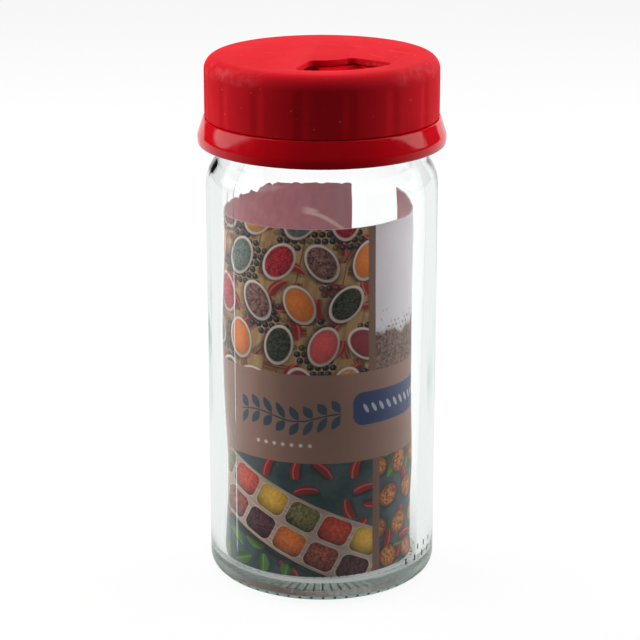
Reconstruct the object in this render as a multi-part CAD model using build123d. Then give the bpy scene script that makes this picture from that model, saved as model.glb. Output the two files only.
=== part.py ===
from build123d import *
from math import cos, pi, radians, sin, tan
import os

# Spice jar with a two-part shaker lid, in millimetres, +Z up.
# The origin is the centre of the jar's foot, on the surface it stands on.
# The photographed front faces -Y. Angles on the lid are counted from -Y towards +X.

# Jar body
body_radius = 25.0
body_wall = 3.1
body_height = 90.5
base_thickness = 3.4
inner_corner_run = 0.8
inner_corner_rise = 1.5
heel_radius = 3.2
heel_flats = 4
foot_inset = 6.4
foot_slope_run = 1.8
punt_depth = 1.2

# Shoulder, a soft curve that slopes in to the neck under the lid
shoulder_rise = 5.0
shoulder_radius = 8.6
shoulder_flats = 3
inner_shoulder_drop = 0.6

# Neck finish
neck_inset = 3.6
neck_wall = 2.1
neck_height = 15.5
rim_bevel = 0.4
bead_below_rim = 10.8
bead_width = 1.3
bead_crest = 0.5
bead_proud = 0.6

# Printed card, rolled and sprung against the inside of the glass
card_slack = 1.2
card_thickness = 0.35
card_below_shoulder = 7.55
card_to_glass = 0.1
card_to_base = 0.15
card_gap_start = 23.0
card_gap_end = 66.5

# Sealing ring
seal_thickness = 0.8
seal_overhang = 0.5
seal_to_plug = 0.15

# Screw collar, the lower half of the lid
bore_clearance = 0.9
tower_wall = 0.9
ledge_below_rim = 8.5
skirt_height = 5.66
skirt_wall = 1.1
skirt_top_proud = 0.3
skirt_flare = 1.3
skirt_bulge_share = 0.32
skirt_lip_tuck = 0.15
deck_thickness = 1.1
plateau_rise = 1.4
plateau_margin = 0.6
plug_clearance = 0.35
plug_wall = 0.9
plug_depth = 2.0

# Snap ring between the collar and the cap
ridge_gap = 0.15
ridge_height = 1.25
ridge_above_ledge = 2.5
snap_bead_gap = 0.2
snap_bead_height = 0.8
snap_axial_gap = 0.3

# Turning cap, the upper half of the lid
cap_wall = 1.31
cap_to_tower = 0.55
cap_to_ledge = 0.12
cap_to_deck = 0.15
cap_top_thickness = 1.24
cap_top_radius = 3.0
cap_top_flats = 3
cap_inner_bevel = 1.0
flute_count = 16
flute_first_angle = -9.6
flute_depth = 0.3
flute_width = 3.0
flute_top_drop = 3.4
flute_fade = 1.5

# Openings in the deck below the cap
pour_depth = 8.6
pour_to_plug = 1.45
pour_span = 66.0
pour_corner_radius = 1.2
sift_hole_radius = 1.1
sift_inner_inset = 2.3
sift_outer_inset = 2.1
sift_web = 0.86
sift_columns = 4
sift_row_count = 2

# Pouring window in the cap
window_inner_margin = 0.7
window_outer_margin = 1.8
window_angle = 18.0
window_span = 73.0
window_corner_radius = 1.1
window_edge_bevel = 0.4

# Turn of the cap from the photographed place to each use, and the stops that end it
turn_to_pour = 54.0
turn_to_sift = 54.0
turn_to_closed = 162.0
lug_width = 3.0
lug_clearance = 0.3
lug_root = 0.2
lug_opposite = 180.0

# Cutters run this far past the faces they cut
overrun = 1.0

full_turn = 360.0

# Radii worked out from the sizes above, from the glass outwards and inwards
inner_radius = body_radius - body_wall
neck_radius = body_radius - neck_inset
neck_bore = neck_radius - neck_wall
card_radius = inner_radius - card_slack
card_shift = card_slack - card_to_glass
collar_bore = neck_radius + bore_clearance
tower_radius = collar_bore + tower_wall
cap_inner_radius = tower_radius + cap_to_tower
cap_radius = cap_inner_radius + cap_wall
plug_radius = neck_bore - plug_clearance
plug_inner_radius = plug_radius - plug_wall
pour_outer_radius = plug_inner_radius - pour_to_plug
pour_inner_radius = pour_outer_radius - pour_depth
window_inner_radius = pour_inner_radius - window_inner_margin
window_outer_radius = pour_outer_radius + window_outer_margin
plateau_radius = window_outer_radius + plateau_margin
lug_radius = (plateau_radius + tower_radius) / 2

# Heights worked out from the sizes above, from the foot to the top
shoulder_high = body_height + shoulder_rise
rim_height = shoulder_high + neck_height
card_bottom = base_thickness + inner_corner_rise + card_to_base
card_top = body_height - card_below_shoulder
ledge_height = rim_height - ledge_below_rim
skirt_bottom = ledge_height - skirt_height
deck_under = rim_height + seal_thickness
tower_top = deck_under + deck_thickness
plateau_top = tower_top + plateau_rise
cap_bottom = ledge_height + cap_to_ledge
cap_underside = plateau_top + cap_to_deck
cap_top = cap_underside + cap_top_thickness


def lid_point(radius, angle, height=0):
    """A point on the lid, by radius and by angle from the front towards +X."""
    return Vector(radius * sin(radians(angle)), -radius * cos(radians(angle)), height)


def turned(outline):
    """A solid of revolution about Z from a closed outline in radius and height."""
    return revolve(Plane.XZ * make_face(outline), Axis.Z)


def sector(inner, outer, middle_angle, span, low, high, corner):
    """A ring sector standing from low to high, with rounded corners."""
    start, end = middle_angle - span / 2, middle_angle + span / 2
    inner_start, inner_end = lid_point(inner, start), lid_point(inner, end)
    outer_start, outer_end = lid_point(outer, start), lid_point(outer, end)
    outline = [
        Line(inner_start, outer_start),
        ThreePointArc(outer_start, lid_point(outer, middle_angle), outer_end),
        Line(outer_end, inner_end),
        ThreePointArc(inner_end, lid_point(inner, middle_angle), inner_start),
    ]
    face = make_face(outline)
    if corner > 0:
        face = fillet(face.vertices(), corner)
    return Pos(0, 0, low) * extrude(face, amount=high - low)


def rounded_outline(corners):
    """A closed outline. A corner with a radius and a number is rounded in that many flats."""
    points = []
    for index, corner in enumerate(corners):
        point = Vector(*corner[:2])
        if len(corner) == 2:
            points.append(point)
            continue
        easing, flats = corner[2:]
        before = (Vector(*corners[index - 1][:2]) - point).normalized()
        after = (Vector(*corners[index + 1][:2]) - point).normalized()
        opening = radians(before.get_angle(after))
        centre = point + (before + after).normalized() * (easing / sin(opening / 2))
        reach = easing / tan(opening / 2)
        first = point + before * reach - centre
        last = point + after * reach - centre
        sweep = pi - opening
        for step in range(flats + 1):
            done = sweep * step / flats
            spoke = (first * sin(sweep - done) + last * sin(done)) / sin(sweep)
            points.append(centre + spoke)
    return Polyline(*points, close=True)


def make_glass_jar():
    """Thick clear jar: punted foot, straight body, soft shoulder and a beaded neck."""
    inner_low = body_height - inner_shoulder_drop
    inner_high = shoulder_high - inner_shoulder_drop
    foot_radius = body_radius - foot_inset
    bead_radius = neck_radius + bead_proud
    bead_middle = rim_height - bead_below_rim
    corners = [
        (0, punt_depth),
        (foot_radius - foot_slope_run, punt_depth),
        (foot_radius, 0),
        (body_radius, 0, heel_radius, heel_flats),
        (body_radius, body_height, shoulder_radius, shoulder_flats),
        (neck_radius, shoulder_high),
        (neck_radius, bead_middle - bead_width / 2),
        (bead_radius, bead_middle - bead_crest / 2),
        (bead_radius, bead_middle + bead_crest / 2),
        (neck_radius, bead_middle + bead_width / 2),
        (neck_radius, rim_height - rim_bevel),
        (neck_radius - rim_bevel, rim_height),
        (neck_bore + rim_bevel, rim_height),
        (neck_bore, rim_height - rim_bevel),
        (neck_bore, inner_high),
        (inner_radius, inner_low),
        (inner_radius, base_thickness + inner_corner_rise),
        (inner_radius - inner_corner_run, base_thickness),
        (0, base_thickness),
    ]
    return turned(rounded_outline(corners))


def make_label_card():
    """Printed card rolled to an open C, its gap at the back right."""
    start = radians(card_gap_end)
    end = radians(card_gap_start + full_turn)
    middle = (start + end) / 2
    inner = card_radius - card_thickness

    def card_point(radius, angle):
        return Vector(radius * cos(angle) - card_shift, radius * sin(angle))

    outline = [
        ThreePointArc(*[card_point(card_radius, angle) for angle in (start, middle, end)]),
        Line(card_point(card_radius, end), card_point(inner, end)),
        ThreePointArc(*[card_point(inner, angle) for angle in (end, middle, start)]),
        Line(card_point(inner, start), card_point(card_radius, start)),
    ]
    return Pos(0, 0, card_bottom) * extrude(make_face(outline), amount=card_top - card_bottom)


def make_seal_ring():
    """Flat ring between the glass rim and the deck, held round the collar's plug."""
    inner = plug_radius + seal_to_plug
    outer = neck_radius + seal_overhang
    ring = Circle(outer) - Circle(inner)
    return Pos(0, 0, rim_height) * extrude(ring, amount=seal_thickness)


def collar_shell():
    """The collar's turned form: plateau, plug, threaded tower and flared skirt."""
    plateau_under = plateau_top - deck_thickness
    plug_bottom = deck_under - plug_depth
    ledge_under = ledge_height - skirt_wall
    skirt_top = cap_radius + skirt_top_proud
    skirt_widest = skirt_top + skirt_flare
    skirt_lip = skirt_widest - skirt_lip_tuck
    bulge_height = skirt_bottom + skirt_height * skirt_bulge_share
    ridge_low = ledge_height + ridge_above_ledge
    ridge_radius = cap_inner_radius - ridge_gap
    corners = [
        (0, plateau_under),
        (plug_inner_radius, plateau_under),
        (plug_inner_radius, plug_bottom),
        (plug_radius, plug_bottom),
        (plug_radius, deck_under),
        (collar_bore, deck_under),
        (collar_bore, ledge_under),
        (skirt_top - skirt_wall, ledge_under),
        (skirt_lip - skirt_wall, skirt_bottom),
        (skirt_lip, skirt_bottom),
        (skirt_widest, bulge_height),
        (skirt_top, ledge_height),
        (tower_radius, ledge_height),
        (tower_radius, ridge_low),
        (ridge_radius, ridge_low),
        (tower_radius, ridge_low + ridge_height),
        (tower_radius, tower_top),
        (plateau_radius, tower_top),
        (plateau_radius, plateau_top),
        (0, plateau_top),
    ]
    return turned(rounded_outline(corners))


def make_screw_collar():
    """Collar with a pouring opening, a field of shaker holes and two stops for the cap."""
    low = deck_under
    high = plateau_top + overrun
    collar = collar_shell()
    collar -= sector(
        pour_inner_radius,
        pour_outer_radius,
        window_angle - turn_to_pour,
        pour_span,
        low,
        high,
        pour_corner_radius,
    )
    hole = extrude(Circle(sift_hole_radius), amount=high - low)
    first_row = pour_inner_radius + sift_inner_inset
    row_pitch = (pour_outer_radius - sift_outer_inset - first_row) / (sift_row_count - 1)
    column_pitch = (2 * sift_hole_radius + sift_web) / first_row / radians(1)
    first_column = window_angle + turn_to_sift - (sift_columns - 1) / 2 * column_pitch
    for row in range(sift_row_count):
        for column in range(sift_columns):
            angle = first_column + column * column_pitch
            collar -= Pos(lid_point(first_row + row * row_pitch, angle, low)) * hole
    lug_half = turn_angle(lug_width / 2)
    for side, travel in ((-1, turn_to_pour), (1, turn_to_closed)):
        reach = travel + 2 * lug_half + turn_angle(lug_clearance)
        angle = window_angle + lug_opposite + side * reach
        collar += sector(
            plateau_radius - lug_root,
            cap_inner_radius - cap_inner_bevel - lug_clearance,
            angle,
            2 * lug_half,
            tower_top - lug_root,
            cap_underside - lug_clearance,
            0,
        )
    return collar


def turn_angle(length):
    """The angle, in degrees, that a length takes up on the circle of the stops."""
    return length / lug_radius / radians(1)


def cap_shell():
    """The cap's turned form: flat top, rounded edge, and a skirt with a snap bead."""
    bead_radius = tower_radius + snap_bead_gap
    bead_high = ledge_height + ridge_above_ledge - snap_axial_gap
    corners = [
        (0, cap_underside),
        (cap_inner_radius - cap_inner_bevel, cap_underside),
        (cap_inner_radius, cap_underside - cap_inner_bevel),
        (cap_inner_radius, bead_high),
        (bead_radius, bead_high),
        (cap_inner_radius, bead_high - snap_bead_height),
        (cap_inner_radius, cap_bottom),
        (cap_radius, cap_bottom),
        (cap_radius, cap_top, cap_top_radius, cap_top_flats),
        (0, cap_top),
    ]
    return turned(rounded_outline(corners))


def flute_cutter():
    """One shallow upright groove that fades out under the cap's rounded edge."""
    radius = ((flute_width / 2) ** 2 + flute_depth**2) / (2 * flute_depth)
    end_height = cap_top - flute_top_drop - flute_fade
    start = cap_bottom - overrun
    groove = Pos(0, 0, start) * extrude(Circle(radius), amount=end_height - start)
    tip = Cone(radius, radius - 2 * flute_depth, 2 * flute_fade)
    groove += Pos(0, 0, end_height + flute_fade) * tip
    return Pos(0, -(cap_radius - flute_depth + radius), 0) * groove


def make_turning_cap():
    """Fluted cap with a pouring window that sweeps over the collar's openings."""
    cap = cap_shell()
    cutter = flute_cutter()
    for index in range(flute_count):
        angle = flute_first_angle + index * full_turn / flute_count
        cap -= Rot(0, 0, angle) * cutter
    cap -= sector(
        window_inner_radius,
        window_outer_radius,
        window_angle,
        window_span,
        cap_underside - overrun,
        cap_top + overrun,
        window_corner_radius,
    )
    top_face = cap.faces().sort_by(Axis.Z)[-1]
    cap = chamfer(top_face.inner_wires()[0].edges(), window_edge_bevel)
    cap += sector(
        plateau_radius + lug_clearance,
        tower_radius - lug_clearance,
        window_angle + lug_opposite,
        2 * turn_angle(lug_width / 2),
        tower_top + lug_clearance,
        cap_underside + lug_root,
        0,
    )
    return cap


parts = {
    "glass_jar": make_glass_jar,
    "label_card": make_label_card,
    "seal_ring": make_seal_ring,
    "screw_collar": make_screw_collar,
    "turning_cap": make_turning_cap,
}

os.makedirs("parts", exist_ok=True)
for name, make in parts.items():
    export_step(make(), f"parts/{name}.step")
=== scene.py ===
"""Looks of a glass spice jar: a printed card rolled inside it and a red shaker lid in two parts.

Lengths are in metres, and in millimetres inside materials. The axes are the frame's own: +Z up, the
photographed front towards -Y. Angles round the jar are counted from the front towards +X.
"""

from math import atan2, ceil, cos, pi, radians, sin, tan, tau

import bmesh
import bpy
from bpy.props import FloatProperty, FloatVectorProperty, IntProperty, PointerProperty
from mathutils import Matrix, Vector


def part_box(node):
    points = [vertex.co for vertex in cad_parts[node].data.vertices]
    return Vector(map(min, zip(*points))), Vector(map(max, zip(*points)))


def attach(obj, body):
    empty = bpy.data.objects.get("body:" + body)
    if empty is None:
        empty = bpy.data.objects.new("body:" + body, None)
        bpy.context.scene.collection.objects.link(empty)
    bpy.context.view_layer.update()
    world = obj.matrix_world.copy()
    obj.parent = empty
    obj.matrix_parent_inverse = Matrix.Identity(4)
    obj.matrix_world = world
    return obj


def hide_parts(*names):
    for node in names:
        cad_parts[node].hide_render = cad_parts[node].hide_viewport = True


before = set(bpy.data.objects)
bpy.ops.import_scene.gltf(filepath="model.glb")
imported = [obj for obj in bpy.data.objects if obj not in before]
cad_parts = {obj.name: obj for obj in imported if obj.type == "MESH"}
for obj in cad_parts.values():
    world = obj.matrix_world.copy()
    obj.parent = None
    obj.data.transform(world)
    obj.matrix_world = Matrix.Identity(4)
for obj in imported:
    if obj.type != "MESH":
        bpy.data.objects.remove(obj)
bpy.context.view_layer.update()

bl_info = {
    "name": "Spice jar looks",
    "version": (1, 0, 0),
    "blender": (4, 5, 0),
    "location": "View3D > Sidebar > Spice jar",
    "description": "Dresses the packed spice jar in clear glass, a printed card and red plastic",
    "category": "Object",
}

MM = 0.001
JAR_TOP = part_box("glass_jar")[1]
CARD_LOW, CARD_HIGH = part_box("label_card")
RING_LOW, RING_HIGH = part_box("seal_ring")
COLLAR_LOW, COLLAR_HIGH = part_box("screw_collar")
CAP_LOW, CAP_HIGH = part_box("turning_cap")

BODY_RADIUS = JAR_TOP.x
RIM = JAR_TOP.z
CARD_RADIUS = (CARD_HIGH.y - CARD_LOW.y) / 2
CARD_SHIFT = -(CARD_LOW.x + CARD_RADIUS)
DECK_TOP = COLLAR_HIGH.z
CAP_RADIUS = CAP_HIGH.x
SEAM_ANGLE = radians(-52.5)

# Heights of the painted dark dots round the foot and of the painted dark nicks at the heel, and the nicks'
# columns
DOT_LOW, DOT_HIGH = 0.93 * MM, 1.33 * MM
NICK_LOW, NICK_HIGH = 5.8 * MM, 7.2 * MM
NICK_COLUMNS = range(39, 70, 6)

# Turn of the cap from closed to either kind of hole, width of its lug and of each stop, and the
# angle between their middles when they meet
HOLE_TURN = radians(54)
LUG_SPAN = radians(8.15)
STOP_GAP = radians(8.6)

# Coarsest steps of a rounding in an outline and of a curve seen from above
ARC_STEP, RING_STEP = radians(9), radians(3)


def size(name, default, description):
    """A length that a user may change. Its default is in millimetres."""
    return FloatProperty(
        name=name, description=description, default=default * MM, unit="LENGTH", precision=5
    )


def share(name, default, description, unit="NONE"):
    """A number that a user may change. An angle's default is in radians."""
    return FloatProperty(name=name, description=description, default=default, unit=unit, precision=3)


def tone(name, default, description):
    """A colour that a user may change, in linear light."""
    return FloatVectorProperty(
        name=name, description=description, default=default, subtype="COLOR", size=3, min=0, max=1
    )


class GlassLooks(bpy.types.PropertyGroup):
    """Sizes and colour of the glass."""

    wall: size("Wall", 3.1, "Thickness of the body's wall")
    floor: size("Floor", 3.4, "Height of the inner floor")
    punt: size("Punt", 1.2, "Hollow under the foot")
    heel: size("Heel", 3.2, "Rounding between wall and foot")
    shoulder_start: size("Shoulder start", 90.5, "Height at which the body turns in")
    shoulder_rise: size("Shoulder rise", 5.0, "Height that the shoulder takes")
    shoulder_round: size("Shoulder rounding", 8.6, "Radius of the shoulder's two curves")
    neck_inset: size("Neck inset", 3.6, "From the body's wall in to the neck's")
    neck_wall: size("Neck wall", 2.1, "Thickness of the neck")
    thread_depth: size("Thread depth", 0.42, "Height of the thread's crest")
    thread_pitch: size("Thread pitch", 3.2, "Climb of the thread in one turn")
    thread_turns: share("Thread turns", 1.5, "How far round the thread runs")
    ripple: size("Ripple", 0.05, "Unevenness of the blown wall")
    tint: tone("Tint", (0.985, 0.99, 0.99), "What the surface lets through")
    depth_tint: tone("Depth tint", (0.18, 0.76, 0.52), "What thick glass lets through")
    density: share("Density", 4.0, "How strongly thick glass tints")
    foot_tint: tone("Foot tint", (0.88, 0.915, 0.89), "What the stippled foot lets through")
    dots: IntProperty(name="Dots", description="Marks round the foot", default=60, min=3)


class PrintLooks(bpy.types.PropertyGroup):
    """Places and colours of the card's print."""

    band_low: size("Band low", 31.35, "Lower edge of the plain band")
    band_high: size("Band high", 51.25, "Upper edge of the plain band")
    band: tone("Band", (0.34, 0.20, 0.155), "Colour of the plain band")
    board: tone("Board", (0.62, 0.40, 0.18), "Colour of the printed board")
    dish: tone("Dish", (0.80, 0.71, 0.60), "Colour of the printed dishes")
    cloth: tone("Cloth", (0.045, 0.080, 0.090), "Colour of the printed cloth")
    pale: tone("Pale panel", (0.90, 0.90, 0.93), "Colour of the pale panel")
    plaque: tone("Plaque", (0.055, 0.085, 0.21), "Colour of the bare plaque")
    back: tone("Back", (0.68, 0.33, 0.35), "Colour of the card's inner side")


class LidLooks(bpy.types.PropertyGroup):
    """Sizes and colours of the lid's two parts."""

    collar_bore: size("Collar bore", 22.3, "Radius inside the collar")
    tower_wall: size("Tower wall", 0.9, "Thickness of the collar's tower")
    cap_wall: size("Cap wall", 1.31, "Thickness of the cap's side")
    cap_top: size("Cap top", 1.24, "Thickness of the cap's top")
    cap_round: size("Cap rounding", 3.0, "Rounding of the cap's upper edge")
    flutes: IntProperty(name="Flutes", description="Grooves round the cap", default=16, min=3)
    flute_depth: size("Flute depth", 0.13, "Depth of one groove")
    flute_width: size("Flute width", 3.8, "Width of one groove")
    window_inner: size("Window inner", 7.3, "Inner radius of the pouring window")
    window_outer: size("Window outer", 18.4, "Outer radius of the pouring window")
    window_middle: share("Window middle", radians(18), "Angle of the window's middle", "ROTATION")
    window_span: share("Window span", radians(73), "Angle that the window takes", "ROTATION")
    cap: tone("Cap", (0.72, 0.008, 0.019), "Matte red of the cap")
    collar: tone("Collar", (0.75, 0.0022, 0.011), "Glossy red of the collar")


class StudioLooks(bpy.types.PropertyGroup):
    """Camera, floor and lamps."""

    camera_back: size("Camera distance", 460.2, "How far in front of the jar the camera stands")
    camera_side: size("Camera side", -0.42, "How far the camera stands to the side")
    camera_high: size("Camera height", 202.9, "How high the camera stands")
    camera_pitch: share("Camera pitch", radians(17.63), "How far the camera looks down", "ROTATION")
    lens: share("Lens", 123.8, "Focal length on a 36 mm sensor", "CAMERA")
    floor: tone("Floor", (0.94, 0.94, 0.94), "Colour of the floor")
    top_watts: share("Top lamp", 0.62, "Power of the lamp above and behind the jar", "POWER")
    left_watts: share("Left lamp", 3.9, "Power of the lamp at the left", "POWER")
    right_watts: share("Right lamp", 3.4, "Power of the lamp at the right", "POWER")
    room: share("Room light", 0.04, "Strength of the light from all round")
    # Painted shade: how much darker the floor's glow is made under the jar's foot, where the glass shows it
    shade_under: share("Shade under", 0.66, "How much darker the floor is under the jar's foot")
    lamps_inside: share("Lamps inside", 6.9, "Brightness of the lamps for what stands in the glass")
    room_inside: share("Light inside", 0.20, "Strength of the light from all round, through the glass")


LOOKS = {"jar_glass": GlassLooks, "jar_print": PrintLooks, "jar_lid": LidLooks, "jar_studio": StudioLooks}


# Outlines and turned meshes


def arc_points(before, corner, after, easing):
    """The points of the arc that rounds one corner of an outline."""
    to_before = (before - corner).normalized()
    to_after = (after - corner).normalized()
    half = to_before.angle(to_after) / 2
    reach = min(easing / tan(half), (before - corner).length, (after - corner).length)
    centre = corner + (to_before + to_after).normalized() * (reach * tan(half) / sin(half))
    start = corner + to_before * reach - centre
    end = corner + to_after * reach - centre
    sweep = start.angle(end)
    steps = max(2, ceil(sweep / ARC_STEP))
    turn = 1 if start.x * end.y - start.y * end.x > 0 else -1
    points = []
    for index in range(steps + 1):
        angle = turn * sweep * index / steps
        across = start.x * cos(angle) - start.y * sin(angle)
        along = start.x * sin(angle) + start.y * cos(angle)
        points.append(centre + Vector((across, along)))
    return points


def soft_outline(*corners):
    """An outline in radius and height through corners, some of them with a rounding."""
    spots = [Vector(corner[:2]) for corner in corners]
    outline = [spots[0]]
    for index in range(1, len(corners) - 1):
        easing = corners[index][2] if len(corners[index]) > 2 else 0
        if easing > 0:
            outline += arc_points(spots[index - 1], spots[index], spots[index + 1], easing)
        else:
            outline.append(spots[index])
    outline.append(spots[-1])
    return outline


def rows_between(outline, low, high, gap, least_radius=0.0):
    """The outline with extra points, a gap apart, on its upright runs between two heights."""
    filled = [outline[0]]
    for before, after in zip(outline, outline[1:]):
        upright = abs(after.x - before.x) < 0.2 * abs(after.y - before.y)
        inside = low < max(before.y, after.y) and min(before.y, after.y) < high
        if upright and inside and min(before.x, after.x) > least_radius:
            count = ceil(abs(after.y - before.y) / gap)
            filled += [before.lerp(after, index / count) for index in range(1, count)]
        filled.append(after)
    return filled


def ring_of(mesh, spot, segments, shape=None):
    """A ring of points about Z, from a radius and a height.

    shape takes (radius, angle, height) and returns the moved (radius, height).
    """
    ring = []
    for index in range(segments):
        angle = tau * index / segments
        radius, height = shape(spot.x, angle, spot.y) if shape else spot
        ring.append(mesh.verts.new((radius * sin(angle), -radius * cos(angle), height)))
    return ring


def join_rings(mesh, lower, upper):
    """Adds the faces between two rings of points."""
    for index in range(len(lower)):
        after = (index + 1) % len(lower)
        mesh.faces.new((lower[index], lower[after], upper[after], upper[index]))


def turned_mesh(name, outline, segments, shape=None, flats=False):
    """A closed mesh turned about Z. The outline starts and ends on the axis.

    With flats, the middle of each end is one flat face, which a cutter goes through cleanly.
    """
    mesh = bmesh.new()
    rings = [ring_of(mesh, spot, segments, shape) for spot in outline[1:-1]]
    for lower, upper in zip(rings, rings[1:]):
        join_rings(mesh, lower, upper)
    for ring, spot in ((rings[0], outline[0]), (rings[-1], outline[-1])):
        if flats:
            mesh.faces.new(ring)
            continue
        middle = mesh.verts.new((0, 0, spot.y))
        for index in range(segments):
            mesh.faces.new((middle, ring[index], ring[(index + 1) % segments]))
    return finished(name, mesh)


def smooth(data):
    """Shades a mesh smooth but for its sharp edges."""
    data.shade_smooth()
    data.set_sharp_from_angle(angle=radians(38))


def finished(name, mesh):
    """An object made of the mesh, smooth but for its sharp edges."""
    bmesh.ops.recalc_face_normals(mesh, faces=mesh.faces)
    data = bpy.data.meshes.new(name)
    mesh.to_mesh(data)
    mesh.free()
    smooth(data)
    piece = bpy.data.objects.new(name, data)
    bpy.context.scene.collection.objects.link(piece)
    return piece


def sector_outline(inner, outer, middle, span, rounding):
    """Points round a ring sector with rounded corners, seen from above."""
    start, end = middle - span / 2, middle + span / 2
    corners = [(inner, start, 1, 1), (outer, start, -1, 1), (outer, end, -1, -1), (inner, end, 1, -1)]
    points = []
    for radius, angle, inward, onward in corners:
        radial = Vector((sin(angle), -cos(angle)))
        along = Vector((cos(angle), sin(angle)))
        centre = radial * (radius + inward * rounding) + along * onward * rounding
        ends = (-radial * inward, -along * onward)
        first, last = ends if inward == onward else reversed(ends)
        arc = [first.lerp(last, index / 6).normalized() for index in range(7)]
        points.append([centre + direction * rounding for direction in arc])
    outline = []
    for index, corner in enumerate(points):
        outline += corner
        leaving, arriving = corner[-1], points[(index + 1) % 4][0]
        if index in (1, 3):
            first, last = atan2(leaving.x, -leaving.y), atan2(arriving.x, -arriving.y)
            count = ceil(abs(last - first) / RING_STEP)
            for part in range(1, count):
                angle = first + (last - first) * part / count
                radius = leaving.length + (arriving.length - leaving.length) * part / count
                outline.append(Vector((radius * sin(angle), -radius * cos(angle))))
    return outline


def prism(name, outline, low, high):
    """A block over an outline seen from above."""
    mesh = bmesh.new()
    lower, upper = [[mesh.verts.new((*spot, height)) for spot in outline] for height in (low, high)]
    mesh.faces.new(lower)
    mesh.faces.new(upper)
    join_rings(mesh, lower, upper)
    return finished(name, mesh)


def join_or_cut(piece, tools, operation):
    """Cuts the tools out of a piece, or joins them to it, and removes them."""
    for tool in tools:
        change = piece.modifiers.new(tool.name, "BOOLEAN")
        change.operation, change.solver, change.object = operation, "EXACT", tool
    apply_changes(piece)
    for tool in tools:
        bpy.data.objects.remove(tool)


def apply_changes(piece):
    """Turns a piece's modifiers into its mesh."""
    bpy.context.view_layer.update()
    seen = piece.evaluated_get(bpy.context.evaluated_depsgraph_get())
    data = bpy.data.meshes.new_from_object(seen)
    piece.modifiers.clear()
    piece.data = data


def soften(piece, width, sharp=radians(50)):
    """Rounds the sharp edges of a piece, so that they catch the light."""
    data = bmesh.new()
    data.from_mesh(piece.data)
    speck = 0.002 * MM
    bmesh.ops.remove_doubles(data, verts=data.verts, dist=speck)
    bmesh.ops.dissolve_degenerate(data, edges=data.edges, dist=speck)
    data.to_mesh(piece.data)
    data.free()
    bevel = piece.modifiers.new("soft edges", "BEVEL")
    bevel.width, bevel.segments, bevel.limit_method, bevel.angle_limit = width, 3, "ANGLE", sharp
    apply_changes(piece)
    smooth(piece.data)


def smooth_step(low, high, value):
    """0 below low, 1 above high, and an even curve between."""
    place = min(max((value - low) / (high - low), 0), 1)
    return place * place * (3 - 2 * place)


def thread_lift(angle, height, low, pitch, turns, width):
    """How much of a thread's full crest stands at a place on a round wall, from 0 to 1."""
    lift = 0
    for turn in range(ceil(turns) + 1):
        run = angle / tau + turn
        if 0 <= run <= turns:
            off = abs(height - low - run * pitch) / width
            fade = smooth_step(0, 0.12, run) * smooth_step(0, 0.12, turns - run)
            lift = max(lift, fade * (1 - smooth_step(0.25, 1, off)))
    return lift


# Materials


def sign(operation, swapped=False):
    """What one of Python's signs does to a Term: it adds a Math node."""

    def apply(self, other):
        return self.recipe.maths(operation, *((other, self) if swapped else (self, other)))

    return apply


class Term:
    """A value in a material. Python's signs on it add the Math nodes."""

    def __init__(self, recipe, socket):
        self.recipe, self.socket = recipe, socket

    __add__, __radd__ = sign("ADD"), sign("ADD", True)
    __sub__, __rsub__ = sign("SUBTRACT"), sign("SUBTRACT", True)
    __mul__, __rmul__ = sign("MULTIPLY"), sign("MULTIPLY", True)
    __truediv__, __rtruediv__ = sign("DIVIDE"), sign("DIVIDE", True)
    __mod__, __pow__ = sign("FLOORED_MODULO"), sign("POWER")
    __gt__, __lt__ = sign("GREATER_THAN"), sign("LESS_THAN")

    def __neg__(self):
        return self * -1

    def __abs__(self):
        return self.recipe.maths("ABSOLUTE", self)

    def other(self, output):
        """Another output of the node that this value comes from."""
        return Term(self.recipe, self.socket.node.outputs[output])


def set_stops(ramp, colours):
    """Gives a colour ramp its colours, each over an equal share of it and unblended."""
    ramp.interpolation = "CONSTANT"
    while len(ramp.elements) < len(colours):
        ramp.elements.new(1)
    for index, colour in enumerate(colours):
        ramp.elements[index].position = index / len(colours)
        ramp.elements[index].color = (*colour, 1)


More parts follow.
